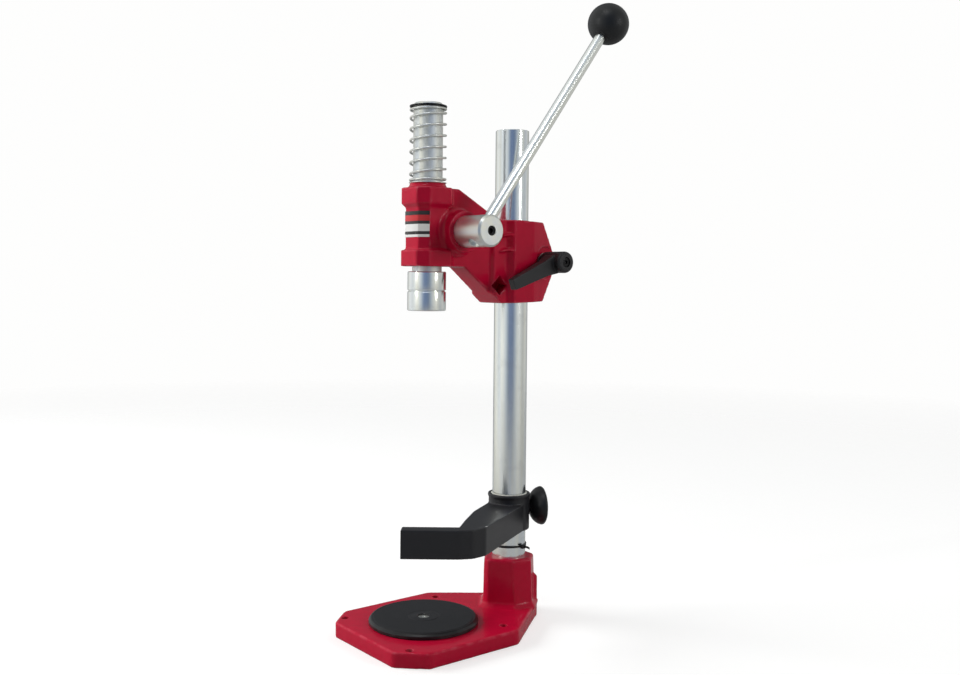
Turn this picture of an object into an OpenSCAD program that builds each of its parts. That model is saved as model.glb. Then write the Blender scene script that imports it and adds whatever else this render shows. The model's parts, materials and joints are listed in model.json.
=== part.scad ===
// Bench crown capper: a rack-and-pinion press that slides on a round column.
// Millimetres. Origin on the bench plane, on the axis of the ram and bottle.
// +Z is up, the operator stands at -Y, the column is behind at +Y, the lever is at +X.

/* [Column] */
// Outside diameter of the chromed column
column_d = 36; // [32:0.1:38]
// Wall of the column tube
column_wall = 4; // [2.5:0.5:6]
// Height of the column's top above the bench
column_top = 522.5; // [450:0.5:650]
// Distance from the ram's axis to the column's axis
throat = 112; // [105:1:125]

/* [Base] */
// Thickness of the base plate
plate_t = 15; // [12:0.5:20]
// Spacing of the four bench holes, the same both ways
bench_spacing = 115; // [110:1:140]
// Diameter of a bench hole
bench_hole_d = 8; // [5:0.5:9]
// Distance from a bench hole's centre to the side of the plate
side_margin = 19.5; // [14:0.5:30]
// Height of the column socket above the bench
socket_top = 65.6; // [55:0.5:80]
// Wall under the plate's pockets
skin_t = 7; // [5:0.5:9]
// Diameter of the bottle rest
rest_d = 110.8; // [90:0.2:116]
// Thickness of the bottle rest
rest_t = 6; // [4:0.5:10]

/* [Head] */
// Height of the underside of the ram guide
guide_bottom = 374.7; // [340:0.1:400]
// Width of the ram guide across its flanges
flange_w = 46; // [44:0.5:54]
// Width of the ram guide across its waist
waist_w = 38; // [36:0.5:42]
// Height of each flange of the ram guide
flange_h = 16.5; // [12:0.5:20]
// Height of the ram guide between its end faces
guide_h = 79.5; // [74:0.5:100]
// Width of the web between guide and clamp
web_w = 28; // [22:0.5:32]
// Width of the clamp body
clamp_w = 52; // [50:0.5:64]
// Height of the clamp body
clamp_h = 89; // [80:0.5:100]
// Width of the clamping slit
slit_w = 3; // [2:0.5:4]

/* [Pinion and lever] */
// Diameter of the pinion shaft
shaft_d = 32; // [31:0.5:34]
// Module of rack and pinion
gear_module = 2; // [2:0.25:2]
// Teeth on the pinion
pinion_teeth = 14; // [13:1:14]
// Outside diameter of the bearing boss
boss_d = 42; // [40:0.5:50]
// Distance from the ram's axis to the boss face
boss_face = 31; // [27:0.5:40]
// Distance from the ram's axis to the shaft's end
shaft_end = 71.5; // [66:0.5:85]
// Diameter of the lever rod
rod_d = 12; // [10:0.5:14]
// Length from the shaft's axis to the centre of the ball
lever_l = 290.5; // [200:0.5:340]
// Lean of the lever to the rear at rest, in degrees
lever_lean = 37; // [20:1:45]
// Diameter of the ball knob
ball_d = 45; // [35:0.5:50]

/* [Ram and die] */
// Diameter of the ram
ram_d = 30; // [28:0.5:31]
// Height of the ram's top
ram_top = 540.2; // [520:0.1:580]
// Diameter of the wire of the return spring
spring_wire = 2.4; // [1.8:0.1:3]
// Outside diameter of the return spring
spring_d = 38; // [37:0.5:42]
// Number of turns of the return spring, with its two closed ends
spring_turns = 8.1; // [6:0.1:10]
// Diameter of die and die holder
die_d = 39; // [38:0.5:46]
// Height of the die holder
holder_h = 19; // [17:0.5:26]
// Height of the crimping die
die_h = 19.4; // [18:0.2:26]
// Inside diameter of the crimping bell
bell_d = 31.2; // [28:0.1:32]

/* [Bottle arm] */
// Height of the arm's underside above the bench
arm_bottom = 94; // [90:1:150]
// Height of the arm
arm_h = 28; // [20:1:34]
// Height of the arm's collar
collar_h = 38.5; // [34:1:50]
// Outside diameter of the collar
collar_d = 44; // [43:0.5:52]
// Diameter of the arm's clamping knob
knob_d = 41; // [30:0.5:44]
// Thickness of the arm's front plate
guard_t = 15; // [8:0.5:18]
// Distance from the bottle's axis to the arm's rest faces
bottle_gap = 45; // [40:0.5:46]

/* [Clearances] */
// Radial clearance of a running fit
run = 0.05; // [0.02:0.01:0.1]
// Gap between faces that move past each other
side_gap = 0.3; // [0.2:0.05:0.6]

/* [Hidden] */
$fn = 96;
eps = 0.01;

// Colours
paint = [0.66, 0.07, 0.16];
steel = [0.78, 0.8, 0.82];
dark_steel = [0.25, 0.26, 0.28];
black = [0.09, 0.09, 0.1];

// Column and base
column_r = column_d / 2;
socket_floor = 8;
half_spacing = bench_spacing / 2;
boss_pad_r = bench_hole_d / 2 + 8;
rib_t = 8;
rim_t = 9;
plate_rear = throat + 27.5;
pad_half = 20;
pad_rear = throat + 25;
pad_top = plate_t + 31;
plate_half_w = half_spacing + side_margin;
plate_front = half_spacing + 15.2;
corner_cut = half_spacing - 9;
front_corner = corner_cut + 3.6;
corner_y = corner_cut - 1.9;
side_rear = half_spacing + 3.2;
rest_screw_r = 3;
rest_head_r = 6;
set_screw_r = 4;
set_screw_z = [28, 46];
tie_z = 76.3;
tie_h = 2.4;
tie_t = 1.3;

// Ram guide
guide_top = guide_bottom + guide_h;
seat_top = guide_top + 4.6;
seat_r = spring_d / 2 - 0.7;
taper_h = 4.2;
waist_low = guide_bottom + flange_h + taper_h;
waist_high = guide_top - flange_h - taper_h;
chamfer_share = 0.42;
ram_r = ram_d / 2;

// Rack and pinion
pitch_r = gear_module * pinion_teeth / 2;
rack_pitch = PI * gear_module;
rack_add = 0.8 * gear_module;
rack_ded = 1.25 * gear_module;
pressure_angle = 20;
backlash = 0.2;
mesh_depth = 3;
shaft_y = ram_r - mesh_depth + pitch_r;
shaft_z = guide_bottom + 35.3;
shaft_r = shaft_d / 2;
pinion_tip_r = pitch_r + 0.85 * gear_module;
pinion_root_r = pitch_r - rack_ded;
ram_clear_x = sqrt(pow(ram_r + run, 2) - pow(max(0, shaft_y - shaft_r), 2));
pinion_half_l = max(12.5, ram_clear_x + 0.1);
journal_r = 10;
journal_end = boss_face + 3.2;
rack_teeth = 10;
rack_first = -2;

// Clamp body
clamp_top = guide_bottom + 51.3;
clamp_bottom = clamp_top - clamp_h;
clamp_mid = clamp_bottom + 0.49 * clamp_h;
clamp_half = clamp_w / 2;
neck_half = 19;
clamp_front = throat - 24;
foot_y = clamp_front - 4;
slant_y = 38;
pocket_y = clamp_front - 7.5;
pocket_z = clamp_bottom + 18.8;
pocket_half_w = 9.4;
pocket_half_h = 10.2;
pocket_depth = 8;
stud_y = throat + 32;
stud_z = clamp_bottom + 44;
stud_r = 5;
lug_r = 13;
lug_face = 17.5;
clamp_rear = throat + 46;
clamp_rear_end = throat + 27;
spot_r = 17;

// Clamp lever, which lifts off its serrated hub against a small spring
hub_low = lug_face + 1.5 + side_gap;
hub_l = 20;
hub_r = 7;
handle_low = hub_low + 1.5;
handle_end = lug_face + 35.5;
handle_shoulder = hub_low + hub_l + 2.2;
shoulder_wall = 1.7;
lift_screw_r = 2;
lift_head_r = 5.2;
lift_head_low = handle_end - 4.2;

// Lever
rod_r = rod_d / 2;
rod_x = shaft_end - 16;
rod_low = sqrt(shaft_r * shaft_r - rod_r * rod_r) - 1.3;
ball_r = ball_d / 2;
rod_into_ball = 16;
insert_r = rod_r + 2.5;
lock_r = 5;

// Spring between the seat washer and the ram's circlip
washer_t = 1;
circlip_t = 1.6;
ram_groove_z = ram_top - 2.7 - circlip_t;
spring_low = seat_top + washer_t;
spring_high = ram_groove_z;
spring_mid_r = (spring_d - spring_wire) / 2;
spring_phase = 88;

// Die
neck_h = 5.1;
holder_top = guide_bottom - neck_h;
holder_low = holder_top - holder_h;
die_gap = 1.2;
die_top = holder_low;
die_low = die_top - die_h - die_gap;
die_r = die_d / 2;
spigot_r = 10;
spigot_l = 9.5;
spigot_low = holder_top - spigot_l;
bell_r = bell_d / 2;
bell_mouth_r = bell_r + 1.9;
bell_cone_h = 6;
shoulder_t = 4;
plunger_travel = 6;
plunger_head_t = 3.5;
plunger_stem_r = 6;
plunger_stop_r = 8;
plunger_stop_t = 2;
plunger_low = die_low + bell_cone_h;
plunger_top = spigot_low + 2;
spring_hole_r = 6;
spring_hole_top = spigot_low + 27;
magnet_r = 8;
magnet_t = 2;

// Bottle arm
liner_r = column_r + 1.3;
guard_dir = 38.6;
leg_dir = -39.3;
knob_dir = 66;
knob_near = collar_d / 2 + 1.8;
knob_t = 18;
knob_z = arm_bottom + 22.4;
knob_stud_r = 4;

// A chamfered square, width w across its flats
module guide_outline(w) {
    h = w / 2;
    c = h * chamfer_share;
    polygon([[h, -h + c], [h, h - c], [h - c, h], [-h + c, h],
        [-h, h - c], [-h, -h + c], [-h + c, -h], [h - c, -h]]);
}

// Closed helical wire along Z from z0 to z1, with one closed coil at each end
function coil_z(t, turns, z0, z1, wire) =
    let (low = z0 + wire / 2, high = z1 - wire / 2, free = turns - 2, rise = high - low - 2 * wire)
    t < 1 ? low + t * wire
    : t > turns - 1 ? high - (turns - t) * wire
    : low + wire + rise * (t - 1) / free;

module coil_spring(turns, mid_r, wire, z0, z1, steps = 20, sides = 8) {
    n = ceil(turns * steps);
    points = [for (i = [0:n]) let (t = turns * i / n, a = 360 * t, z = coil_z(t, turns, z0, z1, wire))
        for (j = [0:sides - 1]) let (b = 360 * j / sides, r = mid_r + wire / 2 * cos(b))
            [r * cos(a), r * sin(a), z + wire / 2 * sin(b)]];
    skin = [for (i = [0:n - 1]) for (j = [0:sides - 1])
        let (k = (j + 1) % sides, a = i * sides, b = a + sides)
            for (f = [[a + j, b + j, b + k], [a + j, b + k, a + k]]) f];
    first = [for (j = [0:sides - 1]) j];
    last = [for (j = [sides - 1:-1:0]) n * sides + j];
    polyhedron(points, concat(skin, [first], [last]));
}

// Cylinder along +X from x0 to x1
module x_bar(r, x0, x1) {
    translate([x0, 0, 0]) rotate([0, 90, 0]) cylinder(r = r, h = x1 - x0);
}

// Prism along X whose outline is drawn in Y and Z
module yz_prism(points, half_w) {
    translate([-half_w, 0, 0]) rotate([90, 0, 90]) linear_extrude(2 * half_w) polygon(points);
}

// Open ring, such as a circlip, with a gap of the given angle
module open_ring(r_in, r_out, t, gap) {
    difference() {
        cylinder(r = r_out, h = t);
        translate([0, 0, -1]) cylinder(r = r_in, h = t + 2);
        translate([0, 0, -1]) linear_extrude(t + 2)
            let (far = 2 * r_out, side = far * tan(gap / 2)) polygon([[0, 0], [far, -side], [far, side]]);
    }
}

module plate_outline() {
    polygon([[front_corner, -plate_front], [plate_half_w, -corner_y], [plate_half_w, side_rear],
        [27, throat + 14.4], [pad_half, pad_rear], [12, plate_rear],
        [-12, plate_rear], [-pad_half, pad_rear], [-27, throat + 14.4],
        [-plate_half_w, side_rear], [-plate_half_w, -corner_y], [-front_corner, -plate_front]]);
}

module bench_points() {
    for (x = [-half_spacing, half_spacing])
        for (y = [-half_spacing, half_spacing])
            translate([x, y, 0]) children();
}

// Plan of the column socket, round the column's axis: right half, then its mirror image
module post_slab(half, z, h) {
    mirrored = [for (i = [3:-1:0]) [-half[i][0], half[i][1]]];
    translate([0, throat, z]) linear_extrude(h) polygon(concat(half, mirrored));
}
post_foot = [[3.6, -32], [26.4, -12.7], [29.8, 8.2], [14, 26]];
post_head = [[3.5, -31], [22.8, -14], [28, 7.5], [13, 24.5]];
post_rim = [for (p = post_head) 0.95 * p];

// Pockets cast into the underside, with ribs between them
module underside_pockets() {
    inner = plate_half_w - rim_t;
    difference() {
        translate([0, 0, -1]) linear_extrude(plate_t - skin_t + 1)
            polygon([[front_corner - 4, rim_t - plate_front], [inner, 4 - corner_y],
                [inner, side_rear - 4.7], [32, throat - 8], [-32, throat - 8], [-inner, side_rear - 4.7],
                [-inner, 4 - corner_y], [4 - front_corner, rim_t - plate_front]]);
        translate([-plate_half_w, -rib_t / 2, -2]) cube([2 * plate_half_w, rib_t, plate_t]);
        translate([-rib_t / 2, -plate_front, -2]) cube([rib_t, 3 * plate_front, plate_t]);
        translate([0, 0, -2]) cylinder(r = rest_screw_r + 9, h = plate_t);
        translate([0, throat, -2]) cylinder(r = column_r + 9, h = plate_t);
        bench_points() translate([0, 0, -2]) cylinder(r = boss_pad_r, h = plate_t);
    }
}

module base_casting() {
    rim_h = 1.6;
    color(paint) difference() {
        union() {
            linear_extrude(plate_t) plate_outline();
            hull() {
                post_slab(post_foot, plate_t - 1, 1);
                post_slab(post_head, socket_top - rim_h - 0.5, 0.5);
                post_slab(post_rim, socket_top - 0.5, 0.5);
            }
            yz_prism([[throat, 0], [pad_rear, 0], [pad_rear, pad_top - 3.5], [pad_rear - 4, pad_top],
                [throat, pad_top]], pad_half - 0.5);
        }
        underside_pockets();
        bench_points() translate([0, 0, -1]) cylinder(d = bench_hole_d, h = plate_t + 2);
        translate([0, throat, socket_floor]) cylinder(r = column_r, h = socket_top);
        translate([0, 0, plate_t - 12]) cylinder(r = rest_screw_r, h = 20);
        for (z = set_screw_z) translate([0, throat + 10, z]) rotate([-90, 0, 0])
            cylinder(r = set_screw_r, h = 40);
    }
}

module column() {
    color(steel) translate([0, throat, socket_floor]) rotate_extrude()
        polygon([[column_r - column_wall, 0], [column_r, 0], [column_r, column_top - socket_floor - 1],
            [column_r - 1, column_top - socket_floor], [column_r - column_wall, column_top - socket_floor]]);
}

module column_set_screws() {
    color(dark_steel) for (z = set_screw_z) translate([0, throat + column_r, z]) rotate([-90, 0, 0])
        difference() {
            cylinder(r = set_screw_r, h = 5.5);
            translate([0, 0, 2.5]) cylinder(r = 2.3, h = 4, $fn = 6);
        }
}

module bottle_rest() {
    r = rest_d / 2;
    color(black) translate([0, 0, plate_t]) rotate_extrude()
        polygon([[rest_screw_r, 0], [r, 0], [r, rest_t - 2.4], [r - 2.4, rest_t], [rest_head_r, rest_t],
            [rest_head_r, rest_t - 1], [rest_screw_r, rest_t - 1 - rest_head_r + rest_screw_r]]);
}

module rest_screw() {
    top = plate_t + rest_t - 1;
    color(steel) difference() {
        union() {
            translate([0, 0, plate_t - 10]) cylinder(r = rest_screw_r, h = top - plate_t + 10 - 0.5);
            translate([0, 0, top - rest_head_r + rest_screw_r])
                cylinder(r1 = rest_screw_r, r2 = rest_head_r, h = rest_head_r - rest_screw_r);
        }
        translate([0, 0, top - 2]) cylinder(r = 2, h = 3, $fn = 6);
    }
}

module cable_tie() {
    color(black) translate([0, throat, tie_z]) {
        difference() {
            union() {
                cylinder(r = column_r + tie_t, h = tie_h);
                rotate([0, 0, 8]) translate([column_r + 0.5, -3, -1]) cube([5, 6, tie_h + 2]);
                rotate([0, 0, 8]) translate([column_r + 4, -1.2, 0]) cube([8, 2.4, tie_h]);
            }
            translate([0, 0, -2]) cylinder(r = column_r, h = tie_h + 4);
        }
    }
}

// Plan of the clamp body round the column, pointed to the rear
module clamp_plan() {
    side_front = throat - 17;
    side_back = throat + 9.4;
    slope = 0.25;
    tail = clamp_half - slope * (clamp_rear - side_back);
    polygon([[web_w / 2, side_front - 25], [neck_half, side_front - 22], [neck_half, side_front - 6],
        [clamp_half, side_front], [clamp_half, side_back], [tail, clamp_rear], [-tail, clamp_rear],
        [-clamp_half, side_back], [-clamp_half, side_front], [-neck_half, side_front - 6],
        [-neck_half, side_front - 22], [-web_w / 2, side_front - 25]]);
}

module clamp_body() {
    intersection() {
        translate([0, 0, clamp_bottom]) linear_extrude(clamp_h) clamp_plan();
        yz_prism([[slant_y, guide_bottom], [foot_y, clamp_bottom], [clamp_rear_end, clamp_bottom + 1.5],
            [clamp_rear, clamp_mid - 11], [clamp_rear, clamp_mid + 11], [clamp_rear_end, clamp_top - 2],
            [slant_y, clamp_top]], clamp_w);
    }
}

module head_web() {
    yz_prism([[0, guide_bottom], [slant_y, guide_bottom], [foot_y, clamp_bottom],
        [clamp_front + 4, clamp_bottom], [clamp_front + 4, clamp_top], [clamp_front - 7, clamp_top],
        [30, guide_top], [0, guide_top]], web_w / 2);
}

module ram_guide() {
    translate([0, 0, guide_bottom]) {
        linear_extrude(guide_h) guide_outline(waist_w);
        linear_extrude(flange_h) guide_outline(flange_w);
        translate([0, 0, flange_h - eps]) linear_extrude(taper_h + eps, scale = waist_w / flange_w)
            guide_outline(flange_w);
        translate([0, 0, guide_h - flange_h]) linear_extrude(flange_h) guide_outline(flange_w);
        translate([0, 0, guide_h - flange_h - taper_h])
            linear_extrude(taper_h + eps, scale = flange_w / waist_w) guide_outline(waist_w);
        translate([0, 0, guide_h - eps]) cylinder(r = seat_r + 1, h = 1);
        translate([0, 0, guide_h]) cylinder(r1 = seat_r + 1, r2 = seat_r - 0.4, h = seat_top - guide_top);
    }
}

module head_casting() {
    color(paint) difference() {
        union() {
            ram_guide();
            head_web();
            clamp_body();
            translate([0, shaft_y, shaft_z]) x_bar(boss_d / 2, -boss_face, boss_face);
            translate([0, stud_y, stud_z]) x_bar(lug_r, -lug_face, lug_face);
        }
        translate([0, 0, guide_bottom - 1]) cylinder(r = ram_r + run, h = guide_h + 20);
        translate([0, throat, clamp_bottom - 1]) cylinder(r = column_r + run, h = clamp_h + 2);
        translate([0, shaft_y, shaft_z]) {
            x_bar(shaft_r + run, -pinion_half_l - 1, boss_face + 1);
            x_bar(journal_r + run, -boss_face - 1, 0);
        }
        translate([0, stud_y, stud_z]) {
            x_bar(stud_r + run, -lug_face - 1, lug_face + 1);
            x_bar(spot_r, lug_face, lug_face + clamp_half);
            x_bar(spot_r, -lug_face - clamp_half, -lug_face);
        }
        translate([-slit_w / 2, throat, clamp_bottom - 1]) cube([slit_w, 60, clamp_h + 2]);
        for (s = [-1, 1]) translate([s * neck_half, 0, 0]) yz_prism([
            [pocket_y - pocket_half_w, pocket_z], [pocket_y, pocket_z + pocket_half_h],
            [pocket_y + pocket_half_w, pocket_z], [pocket_y, pocket_z - pocket_half_h]], pocket_depth);
    }
}

// Strip bent round the waist's front face and its two chamfers
module label() {
    h = waist_w / 2;
    c = h * chamfer_share;
    label_z = waist_low + 8.5;
    label_h = 26;
    t = 0.3;
    color([0.85, 0.85, 0.85]) translate([0, 0, label_z]) linear_extrude(label_h)
        polygon([[h, -h + c], [h - c, -h], [-h + c, -h], [-h, -h + c], [-h - t, -h + c],
            [-h + c - t / 2, -h - t], [h - c + t / 2, -h - t], [h + t, -h + c]]);
}

module spring_washer() {
    color(steel) translate([0, 0, seat_top]) difference() {
        cylinder(d = spring_d, h = washer_t);
        translate([0, 0, -1]) cylinder(r = ram_r + side_gap, h = washer_t + 2);
    }
}

module return_spring() {
    color(steel) rotate([0, 0, spring_phase])
        coil_spring(spring_turns, spring_mid_r, spring_wire, spring_low, spring_high);
}

module clamp_nut() {
    color(dark_steel) translate([0, stud_y, stud_z]) difference() {
        translate([-lug_face - 8, 0, 0]) rotate([0, 90, 0]) cylinder(r = 9.8, h = 8, $fn = 6);
        x_bar(stud_r + run, -lug_face - 9, 0);
    }
}

module clamp_washer() {
    color(steel) translate([0, stud_y, stud_z]) difference() {
        x_bar(10.5, lug_face, lug_face + 1.5);
        x_bar(stud_r + run, lug_face - 1, lug_face + 3);
    }
}

module clamp_stud() {
    color(steel) translate([0, stud_y, stud_z]) x_bar(stud_r, -lug_face - 11, hub_low + 12);
}

// Serrated insert that the clamp handle sits on
module clamp_hub() {
    color(dark_steel) translate([0, stud_y, stud_z]) difference() {
        union() {
            x_bar(hub_r + 1.5, hub_low, handle_low);
            x_bar(hub_r, hub_low, hub_low + hub_l);
        }
        x_bar(stud_r, hub_low - 1, hub_low + 12);
        x_bar(lift_screw_r, hub_low + hub_l - 8, hub_low + hub_l + 1);
    }
}

module clamp_handle() {
    arm_l = 72;
    droop = 19;
    tip_x = lug_face + 30.5;
    color(black) translate([0, stud_y, stud_z]) difference() {
        union() {
            x_bar(11.5, handle_low + side_gap, handle_end - 2);
            translate([handle_end - 2, 0, 0]) rotate([0, 90, 0]) cylinder(r1 = 11.5, r2 = 10, h = 2);
            hull() {
                translate([hub_low + 24, 0, 0]) cube([16, 4, 15], center = true);
                rotate([droop, 0, 0]) translate([tip_x, -arm_l + 3, 0]) cube([9, 6, 9], center = true);
            }
        }
        x_bar(hub_r + side_gap, handle_low - 1, handle_shoulder - shoulder_wall);
        x_bar(lift_screw_r + side_gap, handle_low, handle_end + 1);
        x_bar(lift_head_r + side_gap, handle_shoulder, handle_end + 1);
    }
}

module clamp_handle_screw() {
    color(steel) translate([0, stud_y, stud_z]) difference() {
        union() {
            x_bar(lift_screw_r, hub_low + hub_l - 8, lift_head_low + eps);
            x_bar(lift_head_r, lift_head_low, handle_end - 0.8);
        }
        translate([handle_end - 3, 0, 0]) rotate([0, 90, 0]) cylinder(r = 2, h = 3, $fn = 6);
    }
}

module clamp_handle_spring() {
    color(steel) translate([0, stud_y, stud_z]) rotate([0, 90, 0])
        coil_spring(4, lift_screw_r + 1.6, 0.8, handle_shoulder, lift_head_low, 12, 6);
}

// Involute outline of the pinion
base_r = pitch_r * cos(pressure_angle);
function involute(r) = let (a = acos(min(1, base_r / r))) tan(a) * 180 / PI - a;
half_tooth = 90 / pinion_teeth - backlash / 2 / pitch_r * 180 / PI;
function flank(r) = half_tooth + involute(pitch_r) - involute(max(r, base_r));
flank_radii = [pinion_root_r, base_r, (base_r + pitch_r) / 2, pitch_r, (pitch_r + pinion_tip_r) / 2,
    pinion_tip_r];

module pinion_outline() {
    polygon([for (i = [0:pinion_teeth - 1]) let (mid = -90 + 360 * i / pinion_teeth)
        for (s = [-1, 1]) for (k = [0:5]) let (r = flank_radii[s < 0 ? k : 5 - k], a = mid + s * flank(r))
            [r * cos(a), r * sin(a)]]);
}

module pinion_shaft() {
    color(steel) translate([0, shaft_y, shaft_z]) difference() {
        union() {
            rotate([90, 0, 90]) translate([0, 0, -pinion_half_l]) linear_extrude(2 * pinion_half_l)
                rotate([0, 0, -90]) pinion_outline();
            x_bar(journal_r, -journal_end, -pinion_half_l + eps);
            x_bar(shaft_r, pinion_half_l - eps, shaft_end - 2);
            translate([shaft_end - 2, 0, 0]) rotate([0, 90, 0])
                cylinder(r1 = shaft_r, r2 = shaft_r - 2, h = 2);
        }
        rotate([-lever_lean, 0, 0]) translate([rod_x, 0, -2 * shaft_r]) cylinder(r = rod_r, h = 4 * shaft_r);
        x_bar(lock_r, rod_x, shaft_end + 1);
        translate([-boss_face - 2.4, 0, 0]) rotate([0, 90, 0]) difference() {
            cylinder(r = journal_r + 1, h = 1.2);
            cylinder(r = journal_r - 1, h = 1.2);
        }
    }
}

module lever_rod() {
    color(steel) translate([rod_x, shaft_y, shaft_z]) rotate([-lever_lean, 0, 0])
        translate([0, 0, -rod_low]) difference() {
            cylinder(r = rod_r, h = lever_l + rod_low - ball_r + rod_into_ball);
            translate([rod_r, 0, rod_low]) cube([2, 2 * lock_r + 2, 2 * lock_r + 2], center = true);
        }
}

module on_ball() {
    translate([rod_x, shaft_y, shaft_z]) rotate([-lever_lean, 0, 0]) translate([0, 0, lever_l]) children();
}

module ball_knob() {
    color(black) on_ball() difference() {
        sphere(r = ball_r);
        translate([0, 0, -ball_r - 1]) cylinder(r = insert_r, h = 1 + rod_into_ball);
        translate([0, 0, -2 * ball_r + 1.2]) cube([ball_d, ball_d, ball_d], center = true);
    }
}

module knob_insert() {
    color([0.75, 0.62, 0.3]) on_ball() translate([0, 0, -ball_r + 1.2]) difference() {
        cylinder(r = insert_r, h = rod_into_ball - 1.2);
        translate([0, 0, -1]) cylinder(r = rod_r, h = rod_into_ball + 1);
    }
}

module lever_set_screw() {
    color(dark_steel) translate([0, shaft_y, shaft_z]) difference() {
        x_bar(lock_r, rod_x + rod_r - 1, shaft_end - 1.5);
        translate([shaft_end - 5, 0, 0]) rotate([0, 90, 0]) cylinder(r = 2.9, h = 5, $fn = 6);
    }
}

module shaft_washer() {
    color(steel) translate([0, shaft_y, shaft_z]) difference() {
        x_bar(journal_r + 6, -boss_face - 1.1, -boss_face - 0.1);
        x_bar(journal_r, -boss_face - 2, -boss_face + 1);
    }
}

module shaft_circlip() {
    color(dark_steel) translate([-boss_face - 2.4, shaft_y, shaft_z]) rotate([0, 90, 0])
        open_ring(journal_r - 1, journal_r + 3, 1.2, 50);
}

module ram() {
    rack_low = shaft_z + (rack_first - 0.5) * rack_pitch;
    rack_high = rack_low + rack_teeth * rack_pitch;
    tip_y = shaft_y - pitch_r + rack_add;
    root_y = shaft_y - pitch_r - rack_ded + 0.5;
    half_gap = rack_pitch / 4 + backlash / 2;
    tip_half = half_gap + rack_add * tan(pressure_angle);
    root_half = half_gap - (rack_ded - 0.5) * tan(pressure_angle);
    color(steel) difference() {
        union() {
            translate([0, 0, spigot_low]) cylinder(r = spigot_r, h = spigot_l + eps);
            translate([0, 0, holder_top]) cylinder(r = ram_r, h = ram_top - holder_top - 1.5);
            translate([0, 0, ram_top - 1.5]) cylinder(r1 = ram_r, r2 = ram_r - 1.5, h = 1.5);
        }
        translate([-ram_r - 1, tip_y, rack_low]) cube([ram_d + 2, ram_r, rack_high - rack_low]);
        for (i = [0:rack_teeth - 1]) let (z = shaft_z + (rack_first + i) * rack_pitch)
            yz_prism([[root_y, z - root_half], [root_y, z + root_half], [tip_y + eps, z + tip_half],
                [tip_y + eps, z - tip_half]], ram_r + 1);
        translate([0, 0, spigot_low - 1]) cylinder(r = spring_hole_r, h = spring_hole_top - spigot_low + 1);
        translate([0, 0, ram_groove_z]) difference() {
            cylinder(r = ram_r + 1, h = circlip_t);
            cylinder(r = ram_r - 1, h = circlip_t);
        }
    }
}

module ram_circlip() {
    color(dark_steel) translate([0, 0, ram_groove_z]) rotate([0, 0, 150])
        open_ring(ram_r - 1, spring_d / 2, circlip_t, 24);
}

module die_holder() {
    cavity_r = plunger_stop_r + 1;
    color(steel) rotate_extrude()
        polygon([[spigot_r, holder_top], [die_r - 0.8, holder_top], [die_r, holder_top - 0.8],
            [die_r, holder_low + 0.5], [die_r - 0.5, holder_low], [cavity_r, holder_low],
            [cavity_r, spigot_low], [spigot_r, spigot_low]]);
}

module crimping_die() {
    shoulder = die_top - shoulder_t;
    color(steel) rotate_extrude()
        polygon([[plunger_stem_r + run, die_top], [die_r - 1.2, die_top], [die_r - 1.2, die_top - die_gap],
            [die_r - 0.5, die_top - die_gap], [die_r, die_top - die_gap - 0.5], [die_r, die_low + 0.8],
            [die_r - 0.8, die_low], [bell_mouth_r, die_low], [bell_r, die_low + bell_cone_h],
            [bell_r, shoulder], [plunger_stem_r + run, shoulder]]);
}

module cap_plunger() {
    head_r = bell_r - side_gap;
    head_top = plunger_low + plunger_head_t;
    stop_low = die_top;
    color(steel) rotate_extrude()
        polygon([[0, plunger_low + magnet_t], [magnet_r, plunger_low + magnet_t], [magnet_r, plunger_low],
            [head_r, plunger_low], [head_r, head_top], [plunger_stem_r, head_top],
            [plunger_stem_r, stop_low],
            [plunger_stop_r, stop_low], [plunger_stop_r, stop_low + plunger_stop_t],
            [spring_hole_r - side_gap, stop_low + plunger_stop_t], [spring_hole_r - side_gap, plunger_top],
            [0, plunger_top]]);
}

module cap_magnet() {
    color(dark_steel) translate([0, 0, plunger_low]) cylinder(r = magnet_r, h = magnet_t);
}

module plunger_spring() {
    color(steel) coil_spring(7, 4.6, 1, plunger_top, spring_hole_top, 12, 6);
}

module arm_liner() {
    color([0.86, 0.86, 0.82]) translate([0, throat, arm_bottom]) difference() {
        cylinder(r = liner_r, h = collar_h);
        translate([0, 0, -1]) cylinder(r = column_r + run, h = collar_h + 2);
        rotate([0, 0, 200]) translate([0, -1, -1]) cube([60, 2, collar_h + 2]);
    }
}

// A point at distance d along direction a, moved t along the face that the direction is square to
function face_point(a, d, t) = [d * cos(a) - t * sin(a), d * sin(a) + t * cos(a)];

module arm_outline() {
    guard = -guard_dir;
    leg = -leg_dir;
    polygon([face_point(guard, bottle_gap, -19.5), face_point(guard, bottle_gap + guard_t, -20),
        face_point(guard, bottle_gap + guard_t, 36.5), [75.5, 4], [74, 20.4],
        [13.3 * collar_d / 44, throat + 16.9], [-12.9 * collar_d / 44, throat - 17],
        face_point(leg, bottle_gap - 1.5, 34), face_point(leg, bottle_gap - 1.5, -7),
        face_point(guard, bottle_gap, 36), face_point(guard, bottle_gap, 20)]);
}

module at_knob() {
    translate([0, throat, knob_z]) rotate([0, 0, knob_dir]) children();
}

module bottle_arm() {
    color(black) difference() {
        union() {
            translate([0, 0, arm_bottom]) linear_extrude(arm_h) arm_outline();
            translate([0, throat, arm_bottom]) cylinder(d = collar_d, h = collar_h);
            at_knob() x_bar(7, column_r, knob_near - side_gap - 0.3);
        }
        translate([0, throat, arm_bottom - 1]) cylinder(r = liner_r + run, h = collar_h + 2);
        at_knob() x_bar(knob_stud_r + run, 0, 2 * column_r);
    }
}

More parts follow.
